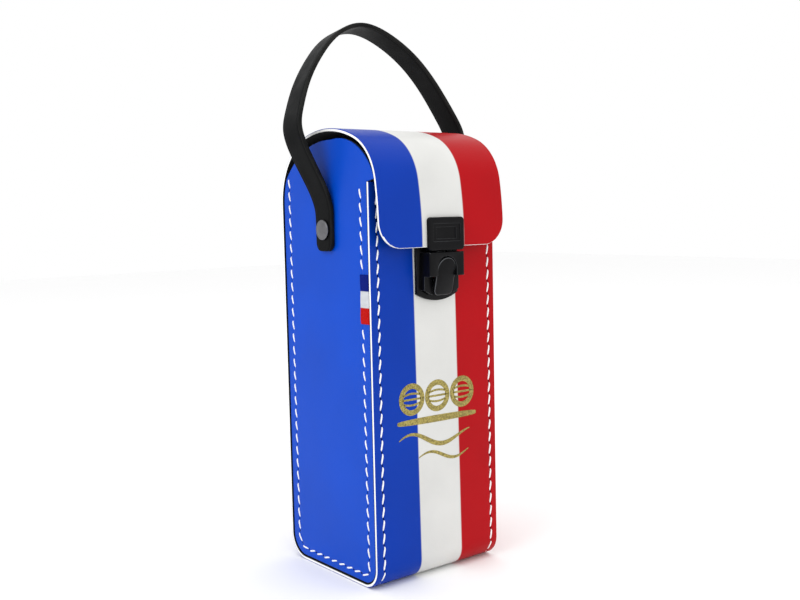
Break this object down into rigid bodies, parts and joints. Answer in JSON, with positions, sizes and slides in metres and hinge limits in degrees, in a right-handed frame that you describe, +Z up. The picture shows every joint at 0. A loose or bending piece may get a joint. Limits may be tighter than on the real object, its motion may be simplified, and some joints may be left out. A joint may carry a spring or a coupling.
{
  "type": "steel bowls set with leather carry case",
  "caption": "Set of steel throwing bowls stacked in a tall stitched leather carry case with a wraparound lid, a riveted strap handle and a slide lock.",
  "frame": {"origin": "centre of the flat bottom of the case", "axes": "+X to the right, +Y to the back, +Z up; the lock faces -Y"},
  "size_m": [0.1161, 0.0953, 0.3062],
  "materials": {
    "strip_leather": "smooth coated leather in three lengthwise bands, blue, white and red, with pale raw edges",
    "left_leather": "smooth coated blue leather",
    "right_leather": "smooth coated red leather",
    "strap_leather": "black leather, slightly waxed",
    "thread": "waxed white sewing thread",
    "tag_ribbon": "woven ribbon in three bands",
    "lock_plastic": "moulded black plastic, fine satin",
    "rivet_metal": "nickel plated, aged grey",
    "spring_wire": "drawn spring wire",
    "bowl_steel": "satin turned carbon steel with ring stripes"
  },
  "bodies": {
    "case": {"wrap_panel": "strip_leather", "side_panel_left": "left_leather", "side_panel_right": "right_leather", "seam_thread_left": "thread", "seam_thread_right": "thread", "flag_tag": "tag_ribbon", "lock_base_plate": "lock_plastic", "lock_housing": "lock_plastic", "lock_backing_plate": "lock_plastic", "lock_base_rivets": "rivet_metal", "lock_springs": "spring_wire", "bowl_1": "bowl_steel", "bowl_2": "bowl_steel", "bowl_3": "bowl_steel"},
    "lid": {"lid_flap": "strip_leather", "lock_flap_plate": "lock_plastic", "lock_flap_clamp": "lock_plastic", "lock_flap_rivets": "rivet_metal"},
    "handle_rivets": {"handle_rivet_left": "rivet_metal", "handle_rivet_right": "rivet_metal", "rivet_washer_left": "rivet_metal", "rivet_washer_right": "rivet_metal"},
    "handle": {"handle_strap": "strap_leather"},
    "lock_slider_body": {"lock_slider": "lock_plastic"}
  },
  "joints": [
    {"name": "lid_hinge", "type": "hinge", "parent": "case", "child": "lid", "pos_m": [0, 0.0388, 0.21993], "axis": [-1, 0, 0], "range_deg": [0, 110]},
    {"name": "rivet_turn", "type": "hinge", "parent": "case", "child": "handle_rivets", "pos_m": [0, -0.0034, 0.1904], "axis": [-1, 0, 0], "range_deg": [0, 77]},
    {"name": "handle_swing", "type": "hinge", "parent": "handle_rivets", "child": "handle", "pos_m": [0, -0.0034, 0.1904], "axis": [-1, 0, 0], "range_deg": [-150, 45]},
    {"name": "lock_slide", "type": "slide", "parent": "case", "child": "lock_slider_body", "axis": [0, 0.2419, -0.9703], "range_m": [0, 0.004], "stiffness_N_per_m": 600, "springref_m": -0.004, "deforming": ["lock_springs"]}
  ],
  "couplings": [
    {"joint": "rivet_turn", "follows": "lid_hinge", "ratio": 0.7}
  ]
}
